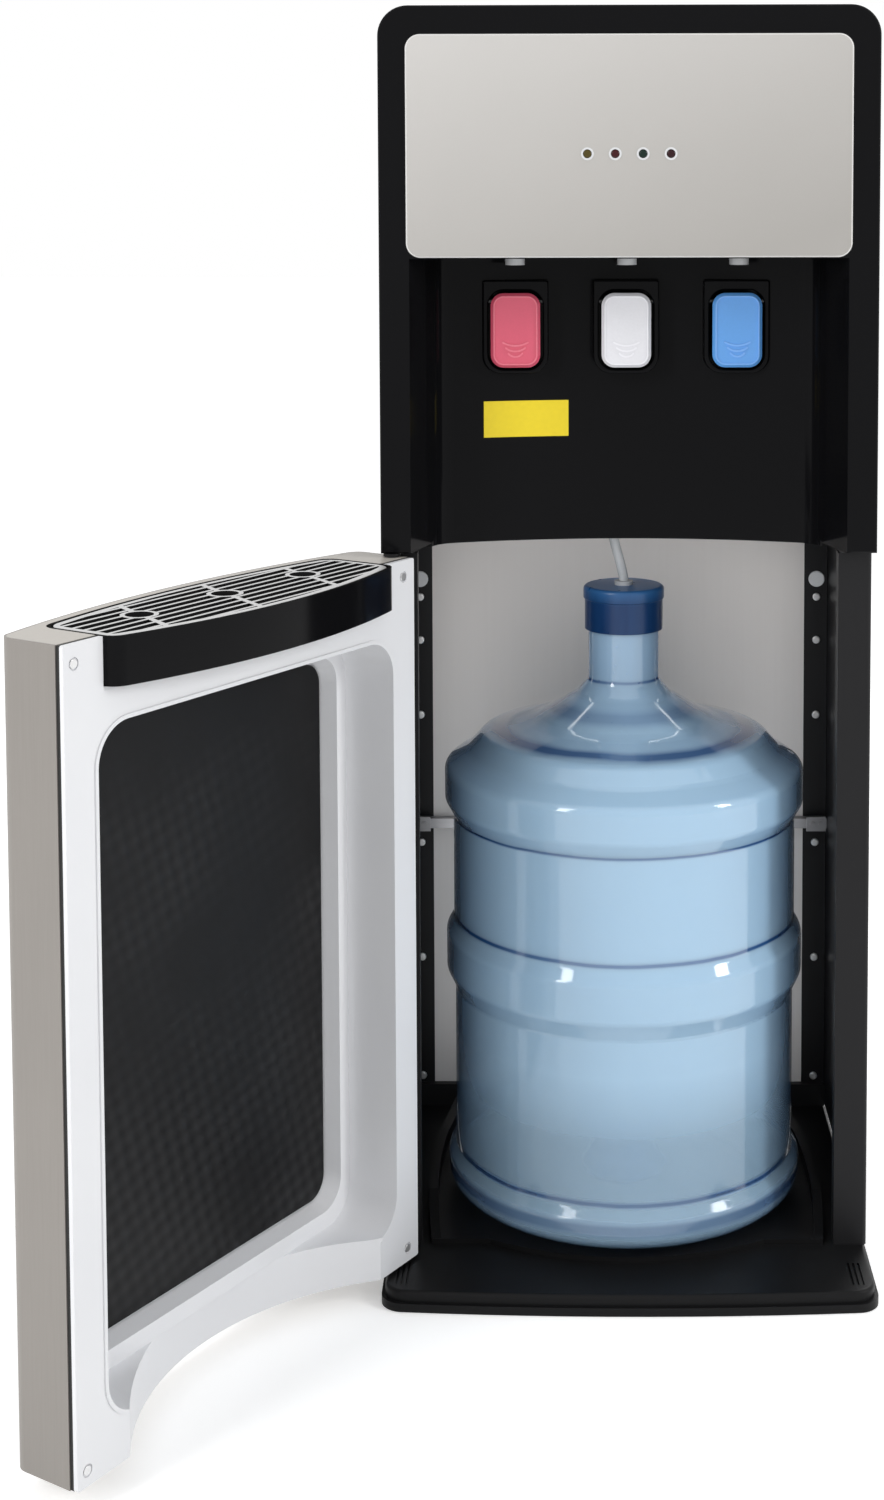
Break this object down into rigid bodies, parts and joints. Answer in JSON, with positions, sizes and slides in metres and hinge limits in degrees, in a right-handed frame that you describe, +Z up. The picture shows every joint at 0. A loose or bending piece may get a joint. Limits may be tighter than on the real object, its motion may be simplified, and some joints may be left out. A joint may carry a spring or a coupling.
{
  "type": "bottom load water cooler",
  "caption": "Upright bottom load water dispenser with its hinged door open on a large blue bottle, paddle taps in a recess and a drip tray on the door.",
  "frame": {"origin": "on the floor under the bottle's axis, midway between the cabinet's front and back", "axes": "+Z up, front facing -Y, +X to the right seen from the front"},
  "size_m": [0.5521, 0.6038, 0.912],
  "materials": {
    "black_plastic": "matte",
    "black_steel": "satin",
    "gloss_black": "gloss",
    "champagne_panel": "satin",
    "light_plastic": "satin",
    "lamp_amber": "gloss",
    "lamp_red": "gloss",
    "lamp_green": "gloss",
    "lamp_dark": "gloss",
    "board": "satin",
    "paddle_red": "gloss",
    "paddle_white": "gloss",
    "paddle_blue": "gloss",
    "label_yellow": "satin",
    "light_panel": "satin",
    "screw_steel": "bright",
    "brace_steel": "satin",
    "bottle_blue": "clear blue",
    "cap_blue": "gloss",
    "clear_tube": "clear",
    "taupe_steel": "satin",
    "taupe_plastic": "satin",
    "seal_rubber": "matte",
    "liner_white": "satin",
    "foam_black": "matte",
    "white_foam": "matte",
    "grille_silver": "satin",
    "tank_steel": "brushed",
    "sink_aluminium": "plain"
  },
  "bodies": {
    "cabinet": {"base_plate": "black_plastic", "side_panel_left": "black_steel", "side_panel_right": "black_steel", "rear_panel": "black_steel", "top_cover": "black_plastic", "upper_front_panel": "gloss_black", "display_panel": "champagne_panel", "lamp_rings": "light_plastic", "lamp_amber": "lamp_amber", "lamp_red": "lamp_red", "lamp_green": "lamp_green", "lamp_dark": "lamp_dark", "control_board": "board", "tap_surrounds": "gloss_black", "spout_hot": "light_plastic", "spout_room": "light_plastic", "spout_cold": "light_plastic", "label_plate": "label_yellow", "bay_back_panel": "light_panel", "rear_rail_left": "black_steel", "rear_rail_right": "black_steel", "rail_screws": "screw_steel", "rail_plugs": "light_plastic", "rear_crossmember": "black_steel", "cross_brace": "brace_steel", "mid_deck": "black_steel", "bottle_tray": "black_plastic", "water_bottle": "bottle_blue", "bottle_cap": "cap_blue", "suction_tube": "clear_tube", "water_hose": "clear_tube", "hinge_plates": "black_steel", "hot_tank": "tank_steel", "cold_tank": "tank_steel", "heat_sink": "sink_aluminium", "fan_frame": "black_plastic", "pump": "black_plastic", "water_pipes": "clear_tube", "power_inlet": "black_plastic", "switch_housing": "black_plastic", "drain_plug": "light_plastic"},
    "door": {"door_skin": "taupe_steel", "door_bottom_cap": "taupe_plastic", "door_top_cap": "taupe_plastic", "door_seal": "seal_rubber", "door_liner": "liner_white", "liner_screws": "screw_steel", "foam_panel": "foam_black", "door_insulation": "white_foam", "door_magnets": "screw_steel", "hinge_bushes": "light_plastic"},
    "tray": {"drip_tray": "gloss_black"},
    "grille": {"drip_grille": "grille_silver"},
    "hot_paddle": {"paddle_hot": "paddle_red"},
    "room_paddle": {"paddle_room": "paddle_white"},
    "cold_paddle": {"paddle_cold": "paddle_blue"},
    "hot_switch": {"switch_hot": "paddle_red"},
    "cold_switch": {"switch_cold": "paddle_blue"},
    "fan": {"fan_rotor": "black_plastic"}
  },
  "joints": [
    {"name": "door_swing", "type": "hinge", "parent": "cabinet", "child": "door", "pos_m": [-0.1675, -0.115, 0.27], "axis": [0, 0, 1], "range_deg": [-3, 122]},
    {"name": "tray_lift", "type": "slide", "parent": "door", "child": "tray", "axis": [0, 0, 1], "range_m": [0, 0.045]},
    {"name": "grille_lift", "type": "slide", "parent": "tray", "child": "grille", "axis": [0, 0, 1], "range_m": [0, 0.03]},
    {"name": "hot_press", "type": "hinge", "parent": "cabinet", "child": "hot_paddle", "pos_m": [-0.0806, -0.052, 0.7026], "axis": [1, 0, 0], "range_deg": [0, 12], "stiffness_Nm_per_rad": 0.25, "springref_deg": -5.73},
    {"name": "room_press", "type": "hinge", "parent": "cabinet", "child": "room_paddle", "pos_m": [0, -0.052, 0.7026], "axis": [1, 0, 0], "range_deg": [0, 12], "stiffness_Nm_per_rad": 0.25, "springref_deg": -5.73},
    {"name": "cold_press", "type": "hinge", "parent": "cabinet", "child": "cold_paddle", "pos_m": [0.0806, -0.052, 0.7026], "axis": [1, 0, 0], "range_deg": [0, 12], "stiffness_Nm_per_rad": 0.25, "springref_deg": -5.73},
    {"name": "hot_rock", "type": "hinge", "parent": "cabinet", "child": "hot_switch", "pos_m": [0.095, 0.174, 0.78], "axis": [1, 0, 0], "range_deg": [0, 11]},
    {"name": "cold_rock", "type": "hinge", "parent": "cabinet", "child": "cold_switch", "pos_m": [0.125, 0.174, 0.78], "axis": [1, 0, 0], "range_deg": [0, 11]},
    {"name": "fan_spin", "type": "hinge", "parent": "cabinet", "child": "fan", "pos_m": [0.084, 0.165, 0.62], "axis": [0, 1, 0], "continuous": true}
  ]
}
